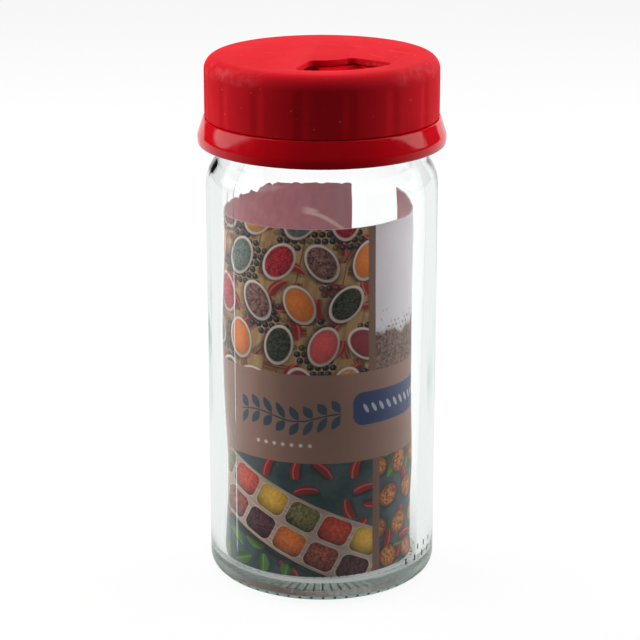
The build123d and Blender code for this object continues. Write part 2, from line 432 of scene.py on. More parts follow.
class Recipe:
    """The nodes of a material or of the world, under construction."""

    def __init__(self, holder, output="ShaderNodeOutputMaterial"):
        self.holder = holder
        holder.use_nodes = True
        self.tree = holder.node_tree
        self.tree.nodes.clear()
        self.out = self.tree.nodes.new(output)

    def node(self, kind, settings=None, inputs=None, output=0):
        """A node of a type, with its settings, then its inputs. Returns one output.

        An input is a plain value, a Term, or a tuple of values that make a vector.
        """
        node = self.tree.nodes.new(kind)
        for key, value in (settings or {}).items():
            if key == "stops":
                set_stops(node.color_ramp, value)
            else:
                setattr(node, key, value)
        for key, value in (inputs or {}).items():
            slot = node.inputs[key]
            if isinstance(value, tuple) and any(isinstance(part, Term) for part in value):
                value = self.spot(*value)
            if isinstance(value, Term):
                self.tree.links.new(value.socket, slot)
            elif slot.type == "RGBA" and len(value) == 3:
                slot.default_value = (*value, 1)
            else:
                slot.default_value = value
        return Term(self, node.outputs[output])

    def maths(self, operation, *values):
        return self.node("ShaderNodeMath", {"operation": operation}, dict(enumerate(values)))

    def whole(self, value):
        """The whole number below a value."""
        return self.maths("FLOOR", value)

    def larger(self, first, second):
        return self.maths("MAXIMUM", first, second)

    def length(self, across, up):
        """The length of a line from its two shares."""
        return self.maths("SQRT", across**2 + up**2)

    def around(self, across, back):
        """The angle round the jar, from the front towards +X."""
        return self.maths("ARCTAN2", across, -back)

    def place(self):
        """The piece's own coordinates in millimetres: across, back and up."""
        spot = self.node("ShaderNodeTexCoord", output="Object")
        parts = self.node("ShaderNodeSeparateXYZ", inputs={0: spot})
        return tuple(parts.other(axis) * 1000 for axis in range(3))

    def spot(self, x=0, y=0, z=0):
        """A vector from three values."""
        return self.node("ShaderNodeCombineXYZ", inputs={0: x, 1: y, 2: z})

    def grey(self, level):
        return self.spot(level, level, level)

    def step(self, low, high, value):
        """0 below low, 1 above high, and a soft change between them."""
        inputs = {"Value": value, "From Min": low, "From Max": high}
        return self.node("ShaderNodeMapRange", {"interpolation_type": "SMOOTHSTEP"}, inputs)

    def fade(self, low, high, value):
        """1 below low, 0 above high, and a soft change between them."""
        return 1 - self.step(low, high, value)

    def inside(self, value, low, high, edge):
        """1 where value lies between low and high, with soft edges."""
        return self.step(low - edge, low + edge, value) * self.fade(high - edge, high + edge, value)

    def noise(self, spot, scale, detail=2, roughness=0.5, distortion=0):
        inputs = {"Vector": spot, "Scale": scale, "Detail": detail}
        inputs.update({"Roughness": roughness, "Distortion": distortion})
        return self.node("ShaderNodeTexNoise", inputs=inputs)

    def grains(self, spot, scale, output="Distance"):
        """Small cells: the distance from each one's middle, or its own random colour."""
        return self.node("ShaderNodeTexVoronoi", inputs={"Vector": spot, "Scale": scale}, output=output)

    def chance(self, spot):
        """A steady random value for each whole-numbered spot."""
        return self.node("ShaderNodeTexWhiteNoise", {"noise_dimensions": "3D"}, {"Vector": spot})

    def choice(self, value, colours):
        """One of the colours, by a value from 0 to 1."""
        return self.node("ShaderNodeValToRGB", {"stops": colours}, {"Fac": value})

    def blend(self, factor, first, second, mode="MIX"):
        """Two colours mixed: the first where factor is 0, the second where it is 1."""
        settings = {"data_type": "RGBA", "blend_type": mode}
        return self.node("ShaderNodeMix", settings, {0: factor, 6: first, 7: second}, output=2)

    def mottle(self, noise, first, second, low=0.3, high=0.7):
        """Two colours in patches, the second where the noise is high."""
        return self.blend(self.step(low, high, noise), first, second)

    def bump(self, height, strength, distance=MM):
        inputs = {"Height": height, "Strength": strength, "Distance": distance}
        return self.node("ShaderNodeBump", inputs=inputs)

    def plastic(self, **sockets):
        """The main shader, with its sockets named in words."""
        inputs = {key.replace("_", " "): value for key, value in sockets.items()}
        return self.node("ShaderNodeBsdfPrincipled", inputs=inputs)

    def both(self, factor, first, second):
        """Two shaders mixed."""
        return self.node("ShaderNodeMixShader", inputs={0: factor, 1: first, 2: second})

    def finish(self, shader, volume=None):
        self.tree.links.new(shader.socket, self.out.inputs["Surface"])
        if volume:
            self.tree.links.new(volume.socket, self.out.inputs["Volume"])
        return self.holder


def new_material(name):
    return Recipe(bpy.data.materials.new(name))


def finish_glass(mix, looks, tint, roughness, normal):
    """Glass that lets the lamps reach what is behind it, and tints more where it is thick."""
    inputs = {"Color": tint, "IOR": 1.5, "Roughness": roughness, "Normal": normal}
    glass = mix.node("ShaderNodeBsdfGlass", inputs=inputs)
    lamp_ray = mix.node("ShaderNodeLightPath", output="Is Shadow Ray")
    clear = mix.node("ShaderNodeBsdfTransparent", inputs={"Color": looks.tint})
    inputs = {"Color": looks.depth_tint, "Density": looks.density}
    depth = mix.node("ShaderNodeVolumeAbsorption", inputs=inputs)
    return mix.finish(mix.both(lamp_ray, glass, clear), depth)


def stippled_glass(looks):
    """The glass of the foot, dulled by the mould's stipple."""
    mix = new_material("stippled_glass")
    grain = mix.noise(mix.place(), 1.6, 3)
    return finish_glass(mix, looks, looks.foot_tint, 0.42, mix.bump(grain, 0.3, 0.2 * MM))


def clear_glass(looks):
    """Clear soda glass, gently rippled, with the mould's seam."""
    mix = new_material("clear_glass")
    across, back, up = mix.place()
    grain = mix.noise((across, back, up * 0.25), 0.09, 2)
    past = ((mix.around(across, back) - SEAM_ANGLE + pi / 2) % pi - pi / 2) * (BODY_RADIUS / MM)
    seam = mix.step(-0.12, 0.12, past) * mix.fade(0.12, 5, past)
    grain = grain + seam * mix.step(6, 12, up) * 0.35
    return finish_glass(mix, looks, looks.tint, 0.0, mix.bump(grain, 0.12))


def painted_nick_shade():
    """Painted shade: opaque dark faces for the shaded mould marks round the foot and at the heel."""
    mix = new_material("painted_nick_shade")
    grain = mix.noise(mix.place(), 2, 2)
    colour = mix.blend(grain, (0.020, 0.030, 0.030), (0.10, 0.12, 0.12))
    return mix.finish(mix.plastic(Base_Color=colour, Roughness=0.3 + grain * 0.2))


# Colour of each spice, and how strongly its grains show
SPICES = [
    ((0.84, 0.25, 0.050), 0.1),
    ((0.30, 0.050, 0.065), 0.1),
    ((0.50, 0.018, 0.040), 1),
    ((0.050, 0.058, 0.036), 1),
    ((0.78, 0.34, 0.070), 0.25),
    ((0.23, 0.115, 0.095), 1),
    ((0.82, 0.13, 0.13), 0.1),
    ((0.15, 0.20, 0.175), 0.6),
]
HEAPS = [
    ((0.78, 0.20, 0.035), 0.3),
    ((0.80, 0.50, 0.080), 0.2),
    ((0.36, 0.080, 0.050), 1),
    ((0.24, 0.22, 0.085), 0.8),
    ((0.090, 0.030, 0.036), 1),
    ((0.62, 0.085, 0.050), 0.5),
]
DEEP_SHADE = (0.04, 0.02, 0.02)


def cells(mix, across, up, wide, high, lag):
    """Staggered cells: the place within a cell, its column and its row."""
    row = mix.whole(up / high)
    run = across / wide + row * lag
    column = mix.whole(run)
    return (run - column - 0.5) * wide, up - (row + 0.5) * high, column, row


def leaning(mix, across, up, angle):
    """A place turned by an angle, which may differ from cell to cell."""
    if isinstance(angle, Term):
        side, rise = mix.maths("COSINE", angle), mix.maths("SINE", angle)
    else:
        side, rise = cos(angle), sin(angle)
    return across * side + up * rise, up * side - across * rise


def oval(mix, across, up, half_wide, half_high):
    """0 in the middle of an oval, 1 on its edge and more outside."""
    return mix.length(across / half_wide, up / half_high)


def plate(mix, across, up, half_wide, half_high, corner):
    """How far outside a plate with rounded corners a place lies. It is negative inside."""
    over_side = mix.larger(abs(across) - (half_wide - corner), 0)
    over_rise = mix.larger(abs(up) - (half_high - corner), 0)
    return mix.length(over_side, over_rise) - corner


def scattered(mix, across, up, wide, high, seed, present):
    """Cells of which only a share is present, each with its place turned at random."""
    side, rise, column, row = cells(mix, across, up, wide, high, 0.37)
    luck = mix.chance((column, row, seed))
    turn = mix.chance((column, row, seed + 1))
    side, rise = leaning(mix, side, rise, turn * 6.28)
    return side, rise, mix.step(1 - present, 1.01 - present, luck), luck


def seed_tone(mix, arc, up, scale):
    """A random tone, from 0 to 1, for each small grain."""
    return mix.grains((arc, up, 2), scale, "Color")


def tinted(mix, colour, light):
    """A colour made lighter or darker by a factor."""
    return mix.blend(1, colour, mix.grey(light), "MULTIPLY")


def heaped(mix, arc, up, spices, order, light, grain, cloud):
    """Spices in the order of a running number, lit from above.

    grain holds the scale and the contrast of the grains, and cloud the seed, the scale and the
    contrast of the larger patches.
    """
    pick = order % len(spices) / len(spices)
    speckle = mix.choice(pick, [(contrast,) * 3 for _, contrast in spices])
    light = light * (1 + (seed_tone(mix, arc, up, grain[0]) - 0.5) * grain[1] * speckle)
    patches = mix.noise((arc, up, cloud[0]), cloud[1], 4, 0.7)
    light = light * ((patches - 0.5) * cloud[2] + 1)
    return tinted(mix, mix.choice(pick, [colour for colour, _ in spices]), light)


def add_pods(mix, picture, arc, up, seed, present):
    """Red pods strewn over a picture, each with a shine along it."""
    side, rise, shown, luck = scattered(mix, arc, up, 6.2, 4.6, seed, present)
    rise = rise + side * side * 0.09
    body = oval(mix, side, rise, 2.7, 0.95 - side * 0.12)
    shade = mix.fade(0.7, 1.5, oval(mix, side + 0.25, rise + 0.35, 2.8, 1.1))
    picture = mix.blend(shade * shown * 0.6, picture, DEEP_SHADE)
    red = mix.blend(luck, (0.50, 0.045, 0.035), (0.36, 0.020, 0.022))
    red = mix.blend(mix.fade(0.05, 0.3, abs(rise - 0.3)) * 0.45, red, (0.85, 0.36, 0.30))
    return mix.blend(mix.fade(0.92, 1.06, body) * shown, picture, red)


def add_sticks(mix, picture, arc, up, seed, present):
    """Rolled bark sticks strewn over a picture."""
    side, rise, shown, luck = scattered(mix, arc, up, 8.4, 4.2, seed, present)
    long_side = mix.inside(side, -3.7, 3.7, 0.08)
    shade = long_side * mix.inside(rise + 0.3, -1.0, 1.0, 0.3)
    picture = mix.blend(shade * shown * 0.6, picture, DEEP_SHADE)
    streaks = mix.noise((side * 0.3, rise * 3, luck), 1.6, 3)
    bark = mix.mottle(streaks, (0.17, 0.055, 0.030), (0.42, 0.17, 0.085))
    bark = mix.blend(mix.inside(rise, -0.12, 0.06, 0.06), bark, (0.07, 0.025, 0.018))
    return mix.blend(long_side * mix.inside(rise, -0.8, 0.8, 0.07) * shown, picture, bark)


def add_leaves(mix, picture, arc, up, seed, present, where):
    """Green leaves with a pale vein, strewn where they are wanted."""
    side, rise, shown, luck = scattered(mix, arc, up, 5.4, 4.6, seed, present)
    blade = abs(rise) / (1.45 - side * side * 0.2)
    leaf = mix.fade(0.88, 1.04, blade) * mix.inside(side, -2.6, 2.6, 0.1) * shown * where
    green = mix.blend(luck, (0.055, 0.170, 0.035), (0.130, 0.290, 0.070))
    green = tinted(mix, green, 1 - mix.step(0.0, 0.9, rise) * 0.45)
    green = mix.blend(mix.fade(0.04, 0.17, abs(rise)) * 0.8, green, (0.30, 0.46, 0.16))
    return mix.blend(leaf, picture, green)


def cloth_ground(mix, looks, arc, up, seed):
    """Dark printed cloth with its weave."""
    folds = mix.noise((arc, up, seed), 0.18, 3)
    weave = mix.noise((arc, up * 3, seed), 1.8, 2)
    return tinted(mix, mix.mottle(folds, looks.cloth, (0.10, 0.145, 0.15)), weave * 0.5 + 0.75)


def dish_panel(mix, looks, arc, up):
    """Printed picture: oval dishes of ground and whole spices on a wooden board."""
    along, across = leaning(mix, arc, up, radians(78))
    plank_wide = 9.5
    plank = mix.whole(across / plank_wide)
    streaks = mix.noise((along * 0.07, across * 0.8, plank * 7), 1.0, 4, 0.6)
    picture = mix.mottle(streaks, looks.board, (0.40, 0.235, 0.095), 0.32, 0.68)
    joint = abs(across % plank_wide - plank_wide / 2)
    picture = mix.blend(mix.step(4.5, 4.7, joint) * 0.7, picture, (0.12, 0.06, 0.03))
    picture = add_sticks(mix, picture, arc, up, 71, 0.55)
    picture = add_pods(mix, picture, arc + 2, up + 1, 81, 0.45)
    side, rise, column, row = cells(mix, arc, up, 1.55, 1.45, 0.37)
    where = mix.step(0.50, 0.56, mix.noise((column, row, 5), 0.17, 1))
    shine = oval(mix, side + 0.2, rise - 0.2, 0.7, 0.7)
    corn = mix.mottle(shine, (0.15, 0.17, 0.20), (0.018, 0.022, 0.030), 0.2, 0.5)
    picture = mix.blend(mix.fade(0.85, 1.1, oval(mix, side, rise, 0.74, 0.70)) * where, picture, corn)

    side, rise, column, row = cells(mix, arc + 3.4, up + 1.6, 9.4, 9.1, 0.5)
    luck = mix.chance((column, row, 3))
    side = side + (luck - 0.5) * 0.8
    lean_side, lean_rise = leaning(mix, side, rise, (luck - 0.45) * 2.3)
    wide, high = 3.15, 4.5
    shade = oval(mix, lean_side + 0.35, lean_rise + 0.55, wide + 0.3, high + 0.3)
    picture = mix.blend(mix.fade(0.82, 1.18, shade) * 0.8, picture, (0.06, 0.035, 0.035))
    dish = oval(mix, lean_side, lean_rise, wide, high)
    rim = tinted(mix, looks.dish, 1.06 - mix.step(-4, 5, side - rise) * 0.30)
    rim = mix.blend(mix.fade(0.84, 0.90, dish), rim, (0.40, 0.30, 0.24))
    picture = mix.blend(mix.fade(0.97, 1.03, dish), picture, rim)
    light = 1.12 - dish * dish * 0.42 + rise * 0.035 - side * 0.03
    order = column * 3 + row * 2 + 1.5
    spice = heaped(mix, arc, up, SPICES, order, light, (2.6, 1.9), (7, 0.6, 0.5))
    return mix.blend(mix.fade(0.80, 0.87, dish), picture, spice)


def tray_panel(mix, looks, arc, up):
    """Printed picture: a slanting tray of heaped spices on dark cloth, with pods and leaves."""
    picture = cloth_ground(mix, looks, arc, up, 4)
    along, across = leaning(mix, arc + 8, up - 17, radians(-26))
    low, high = -6.1, 7.6
    picture = add_pods(mix, picture, arc, up, 91, 0.6)
    picture = add_leaves(mix, picture, arc + 1.5, up, 31, 0.75, mix.fade(low - 1.0, low, across))
    shadow = mix.inside(across + 0.8, low - 0.8, high, 0.6)
    picture = mix.blend(shadow * 0.75, picture, (0.010, 0.012, 0.014))
    side, rise, column, row = cells(mix, along, across - low - 0.2, 7.4, 6.65, 0.0)
    edge = plate(mix, side, rise, 3.25, 2.85, 1.5)
    wood = mix.noise((along * 0.25, across * 2.2, 2), 1.0, 3)
    tray = mix.mottle(wood, (0.80, 0.66, 0.55), (0.58, 0.42, 0.33))
    tray = tinted(mix, tray, 1.05 - mix.step(0.0, 0.45, edge) * 0.25)
    heap = oval(mix, side, rise - 0.25, 3.4, 2.9)
    light = 1.2 - heap * heap * 0.55 + rise * 0.08
    order = column * 2 + row * 3 + 0.5
    spice = heaped(mix, arc, up, HEAPS, order, light, (2.3, 1.7), (9, 0.7, 0.6))
    tray = mix.blend(mix.fade(-0.10, 0.06, edge), tray, spice)
    return mix.blend(mix.inside(across, low, high, 0.08), picture, tray)


def nut_panel(mix, looks, arc, up):
    """Printed picture: cut nutmegs, pods and leaves on dark cloth."""
    picture = cloth_ground(mix, looks, arc, up, 14)
    picture = add_leaves(mix, picture, arc, up + 2, 131, 0.5, 1)
    picture = add_pods(mix, picture, arc + 1, up, 141, 0.6)
    side, rise, column, row = cells(mix, arc + 3.6, up + 3.2, 6.6, 7.2, 0.5)
    luck = mix.chance((column, row, 41))
    side, rise = leaning(mix, side, rise, luck * 6)
    nut = oval(mix, side, rise, 2.75, 2.35)
    picture = mix.blend(mix.fade(0.85, 1.3, nut) * 0.7, picture, (0.012, 0.010, 0.010))
    swirl = mix.noise((side, rise, luck * 9), 0.75, 3, 0.6, 2.5)
    flesh = mix.mottle(swirl, (0.80, 0.34, 0.10), (0.30, 0.085, 0.035), 0.44, 0.56)
    flesh = mix.blend(mix.step(0.80, 0.88, nut), flesh, (0.40, 0.12, 0.045))
    flesh = tinted(mix, flesh, 1.1 - nut * 0.3)
    return mix.blend(mix.fade(0.95, 1.04, nut), picture, flesh)


def seed_panel(mix, looks, arc, up):
    """Printed picture: a heap of small seeds on a pale ground, with some strewn above it."""
    pale = mix.mottle(mix.noise((arc, up, 6), 0.08, 2), looks.pale, (0.84, 0.84, 0.88))
    slope = mix.noise((arc, 0, 8), 0.13, 2) * 9 + mix.noise((arc, up, 8), 1.3, 2)
    above = up - 54.5 - slope
    heap = mix.blend(seed_tone(mix, arc, up, 2.2), (0.07, 0.040, 0.036), (0.42, 0.26, 0.20))
    side, rise, _, luck = scattered(mix, arc, up, 1.15, 0.95, 61, 0.9)
    seed = mix.fade(0.8, 1.15, oval(mix, side, rise, 0.42, 0.25))
    near = mix.step(0.0, 1.0, (1 - above / 7) - luck)
    picture = mix.blend(seed * near, pale, tinted(mix, heap, 0.7))
    picture = mix.blend(mix.fade(-0.3, 1.2, above) * 0.5, picture, (0.30, 0.24, 0.24))
    return mix.blend(mix.fade(-0.5, 0.1, above), picture, heap)


def band_print(mix, looks, arc, up):
    """The plain band, with a sprig, a row of dots and a plaque with pale seeds."""
    haze = mix.noise((arc, up, 12), 0.06, 2)
    band = mix.mottle(haze, looks.band, (0.40, 0.235, 0.18), 0.25, 0.75)
    run = arc + 17.5
    stem = up - 41.6 - mix.maths("SINE", run * 0.36) * 0.8
    leaf_pitch = 2.9
    local = run - (mix.whole(run / leaf_pitch) + 0.5) * leaf_pitch
    leaf_side, leaf_rise = leaning(mix, local + 0.2, abs(stem) - 1.75, radians(32))
    blade = abs(leaf_side) / (0.86 - leaf_rise * leaf_rise * 0.27)
    leaf = mix.fade(0.92, 1.04, blade) * mix.inside(leaf_rise, -1.75, 1.75, 0.06)
    sprig = mix.larger(leaf, mix.fade(0.12, 0.24, abs(stem))) * mix.inside(run, 0.6, 22.4, 0.3)
    band = mix.blend(sprig * 0.96, band, (0.050, 0.095, 0.14))
    dot_pitch = 1.9
    dot_side = run % dot_pitch - dot_pitch / 2
    dots = mix.fade(0.85, 1.15, oval(mix, dot_side, up - 35.4, 0.42, 0.42))
    band = mix.blend(dots * mix.inside(run, 3.8, 17.1, 0.05), band, (0.84, 0.79, 0.75))
    middle = 43.1
    edge = plate(mix, arc - 18.8, up - middle, 11.2, 3.7, 2.3)
    band = mix.blend(mix.fade(-0.06, 0.06, edge), band, looks.plaque)
    side, rise = leaning(mix, arc % dot_pitch - dot_pitch / 2, up - middle, radians(28))
    seeds = mix.fade(0.85, 1.15, oval(mix, side, rise, 0.40, 1.15))
    return mix.blend(seeds * mix.inside(arc, 9.5, 28.5, 0.05) * 0.9, band, (0.62, 0.62, 0.66))


def on_card(mix):
    """A place on the card in millimetres: round it from the front, across and up."""
    across, back, up = mix.place()
    return mix.around(across + CARD_SHIFT / MM, back) * (CARD_RADIUS / MM), across, up


def finish_paper(mix, arc, up, colour, dullness, sheen, relief, through):
    """Fibrous paper, which also shows the light that falls on its other side."""
    fibre = mix.noise((arc, up, 0), 3.0, 4, 0.7)
    face = mix.plastic(
        Base_Color=colour,
        Roughness=dullness + 0.5,
        Specular_IOR_Level=sheen,
        Normal=mix.bump(fibre, relief, 0.1 * MM),
    )
    far_side = mix.node("ShaderNodeBsdfTranslucent", inputs={"Color": colour})
    return mix.finish(mix.both(through, face, far_side))


def printed_face(looks):
    """The card's outer side: pictures above and below a plain band."""
    mix = new_material("printed_card")
    arc, _, up = on_card(mix)
    low, high = looks.band_low / MM, looks.band_high / MM
    edge = 0.07
    past = mix.fade(-29.1, -29.0, arc)
    upper_far, lower_far = [mix.larger(mix.step(end - 0.1, end, arc), past) for end in (12.0, 12.9)]
    upper = mix.blend(upper_far, dish_panel(mix, looks, arc, up), seed_panel(mix, looks, arc, up))
    lower = mix.blend(lower_far, tray_panel(mix, looks, arc, up), nut_panel(mix, looks, arc, up))
    picture = mix.blend(mix.step(high - edge, high + edge, up), lower, upper)
    shifted = arc - mix.fade(low, high, up) * 0.9
    strips = mix.inside(shifted, 11.1, 12.8, edge) + mix.inside(arc, -30.6, -28.9, edge)
    picture = mix.blend(strips, picture, (0.27, 0.155, 0.115))
    colour = mix.blend(mix.inside(up, low, high, edge), picture, band_print(mix, looks, arc, up))
    wear = mix.noise((arc, up, 20), 0.4, 3)
    return finish_paper(mix, arc, up, colour, mix.step(0.3, 0.7, wear) * 0.15, 0.25, 0.05, 0.3)


def plain_back(looks):
    """The card's inner side: dull pink paper, mottled, darker by painted shade towards +X, with a pale
    curved streak.
    """
    mix = new_material("card_back")
    arc, across, up = on_card(mix)
    mottle = mix.noise((arc, up, 3), 0.55, 4, 0.6)
    colour = mix.mottle(mottle, looks.back, (0.58, 0.27, 0.30))
    # Painted shade: browner and darker towards +X
    colour = mix.blend(mix.step(-9, 9, across) * 0.55, colour, (0.50, 0.31, 0.32))
    crease = abs(up - 76.4 + (across + 5.4) ** 2 * 0.035)
    streak = mix.fade(0.15, 0.75, crease) * mix.inside(across, -4.0, 5.6, 1.3)
    colour = mix.blend(streak * 0.8, colour, (0.95, 0.78, 0.70))
    shade = mix.noise((arc * 0.6, up * 0.12, 5), 0.5, 2)
    colour = mix.blend(mix.step(0.45, 0.8, shade) * 0.5, colour, (0.52, 0.36, 0.41))
    return finish_paper(mix, arc, up, colour, mix.step(0.3, 0.7, mottle) * 0.2, 0.2, 0.06, 0.55)


def cut_edge():
    """The card's cut edge: coarse fibre."""
    mix = new_material("card_edge")
    across, back, up = mix.place()
    fibre = mix.noise((across, back, up * 6), 1.5, 3)
    colour = mix.mottle(fibre, (0.50, 0.38, 0.34), (0.38, 0.28, 0.25))
    return mix.finish(mix.plastic(Base_Color=colour, Roughness=fibre * 0.2 + 0.6))


def matte_red(looks):
    """Fine-grained moulded red, dusty and lightly scuffed, with painted sheen in pinkish patches at the
    sides of its upper edge.
    """
    mix = new_material("matte_red")
    across, back, up = mix.place()
    here = mix.spot(across, back, up)
    cloud = mix.noise(here, 0.10, 3)
    scuff = mix.noise((across * 0.25, back * 1.3, up), 0.9, 5, 0.65, 0.6)
    speck = mix.fade(0.06, 0.13, mix.grains(here, 0.42)) * mix.step(0.5, 0.62, mix.noise(here, 0.3, 1))
    worn = mix.step(0.60, 0.78, scuff)
    # Painted sheen: pinkish patches on the upper edge, in the two bands round the cap that the side lamps
    # light
    turn = mix.around(across, back)
    sheen_sides = mix.inside(turn, radians(-76), radians(-34), 0.12)
    sheen_sides = sheen_sides + mix.inside(turn, radians(40), radians(74), 0.12)
    top = CAP_HIGH.z / MM
    painted_sheen = mix.inside(up, top - 3.2, top - 0.35, 0.5) * sheen_sides
    painted_sheen = painted_sheen * mix.step(0.36, 0.78, mix.noise(here, 0.45, 4, 0.6, 0.3))
    wander = mix.noise((across, back, 3), 0.12, 2) * 5
    scratch = abs((mix.length(across + 14, back + 32) + wander) % 6.5 - 3.25)
    scratch = mix.fade(0.04, 0.16, scratch) * mix.step(0.55, 0.66, mix.noise(here, 0.11, 1))
    scratch = scratch * mix.step(top - 0.1, top - 0.03, up)
    colour = mix.mottle(cloud, looks.cap, (0.66, 0.007, 0.016))
    colour = mix.blend(worn * 0.16, colour, (0.88, 0.10, 0.11))
    # Painted sheen in pinkish patches
    colour = mix.blend(painted_sheen * 0.24, colour, (0.88, 0.22, 0.24))
    colour = mix.blend(scratch * 0.22, colour, (0.90, 0.30, 0.28))
    colour = mix.blend(speck * 0.30, colour, (0.95, 0.30, 0.30))
    pores = mix.noise(here, 4.5, 3, 0.6)
    skin = mix.plastic(
        Base_Color=colour,
        Roughness=0.66 - worn * 0.12 + mix.step(0.3, 0.7, cloud) * 0.05,
        Specular_IOR_Level=0.14,
        Normal=mix.bump(pores + scuff * 0.6, 0.22, 0.05 * MM),
    )
    return mix.finish(skin)


def gloss_red(looks):
    """Polished moulded red with faint flow marks."""
    mix = new_material("gloss_red")
    across, back, up = mix.place()
    here = mix.spot(across, back, up)
    flow = mix.noise(here, 0.16, 3, 0.5, 0.4)
    ripple = mix.noise((across, back, up * 0.4), 0.55, 2)
    smudge = mix.noise(here, 0.35, 4, 0.6)
    skin = mix.plastic(
        Base_Color=mix.mottle(flow, looks.collar, (0.68, 0.0015, 0.009)),
        Roughness=mix.step(0.35, 0.75, smudge) * 0.08 + 0.05,
        Specular_IOR_Level=0.5,
        Normal=mix.bump(ripple, 0.05, 0.6 * MM),
    )
    return mix.finish(skin)


def seal_white():
    """Soft white foam with fine cells."""
    mix = new_material("seal_white")
    here = mix.place()
    cloud = mix.noise(here, 0.3, 3)
    foam = mix.plastic(
        Base_Color=mix.mottle(cloud, (0.82, 0.81, 0.78), (0.74, 0.73, 0.70)),
        Roughness=cloud * 0.15 + 0.7,
        Normal=mix.bump(mix.grains(here, 3.0), 0.3, 0.05 * MM),
    )
    return mix.finish(foam)


# Pieces


def glass_outline(looks):
    """Outline of the glass, from the punt over the rim to the inner floor."""
    neck = BODY_RADIUS - looks.neck_inset
    bore = neck - looks.neck_wall
    inner = BODY_RADIUS - looks.wall
    start, high = looks.shoulder_start, looks.shoulder_start + looks.shoulder_rise
    drop = 0.5 * MM
    throat = inner - looks.neck_inset + 0.25 * MM
    foot = BODY_RADIUS - 6.4 * MM
    bead_low = RIM - 11.45 * MM
    bead_high = bead_low + 1.3 * MM
    bead = neck + 0.6 * MM
    foot_round, bead_round, rim_round, mouth_round = 0.9 * MM, 0.28 * MM, 0.7 * MM, 6 * MM
    outline = soft_outline(
        (0, looks.punt),
        (6 * MM, looks.punt),
        (foot - 1.8 * MM, looks.punt, foot_round),
        (foot, 0, foot_round),
        *[(BODY_RADIUS - inset * MM, 0) for inset in (4.4, 4.0, 3.6)],
        (BODY_RADIUS, 0, looks.heel),
        (BODY_RADIUS, NICK_LOW),
        (BODY_RADIUS, NICK_HIGH),
        (BODY_RADIUS, looks.shoulder_start, looks.shoulder_round),
        (neck, high, looks.shoulder_round),
        (neck, bead_low, bead_round),
        (bead, bead_low, bead_round),
        (bead, bead_high, bead_round),
        (neck, bead_high, bead_round),
        (neck, RIM, rim_round),
        (bore, RIM, rim_round),
        (bore, RIM - 4 * MM, mouth_round),
        (throat, high + 4.5 * MM, mouth_round),
        (throat, high - drop, looks.shoulder_round),
        (inner, start - drop, looks.shoulder_round),
        (inner, looks.floor, 2.4 * MM),
        (6 * MM, looks.floor + 0.25 * MM, 8 * MM),
        (0, looks.floor + 0.3 * MM),
    )
    outline = rows_between(outline, 0, looks.shoulder_start, 2.5 * MM)
    return rows_between(outline, high + 4 * MM, RIM, 0.2 * MM, neck - 0.2 * MM)


class JAR_OT_glass(bpy.types.Operator):
    """Make the thick clear jar with its threaded neck"""

    bl_idname = "spice_jar.glass"
    bl_label = "Glass jar"

    def execute(self, context):
        looks = context.scene.jar_glass
        neck = BODY_RADIUS - looks.neck_inset
        thread_low = RIM - 7.6 * MM
        dots = looks.dots
        dot_columns = 5
        columns = dot_columns * dots
        clear, dark, stippled = range(3)
        foot_high = 1.9 * MM

        def blown(radius, angle, height):
            if radius > neck - 0.05 * MM and height > RIM - 9 * MM:
                pitch, turns = looks.thread_pitch, looks.thread_turns
                lift = thread_lift(angle, height, thread_low, pitch, turns, 0.95 * MM)
                return radius + lift * looks.thread_depth, height
            wave = sin(3 * angle + height / (9 * MM)) + 0.7 * sin(5 * angle - height / (13 * MM))
            wave += 0.5 * sin(2 * angle + height / (21 * MM))
            if radius > 3 * MM and height < looks.shoulder_start:
                settle = smooth_step(0, 12 * MM, height)
                side = 2.2 if radius < BODY_RADIUS - 1.5 * MM else -1
                radius += side * wave * looks.ripple * settle * 0.5
            if height < 0.01 * MM and radius > BODY_RADIUS - 4.2 * MM:
                height += 0.12 * MM * max(0, sin(dots * angle))
            return radius, height

        def glass_of(face):
            across, back, up = face.center
            column = int((atan2(across, -back) / tau + 1) * columns)
            # Dots round the foot and nicks at the heel get opaque painted shade; the rest of the foot is
            # stippled glass
            if face.normal.z < -0.4 and up < foot_high:
                dot = column % dot_columns == 0 and DOT_LOW < up < DOT_HIGH
                return dark if dot else stippled
            outside = across**2 + back**2 > (BODY_RADIUS - MM) ** 2
            nick = outside and NICK_LOW < up < NICK_HIGH and column - columns in NICK_COLUMNS
            return dark if nick else clear

        jar = turned_mesh("glass_jar_blown", glass_outline(looks), columns, blown)
        for material in (clear_glass(looks), painted_nick_shade(), stippled_glass(looks)):
            jar.data.materials.append(material)
        for face in jar.data.polygons:
            face.material_index = glass_of(face)
        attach(jar, "jar")
        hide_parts("glass_jar")
        return {"FINISHED"}


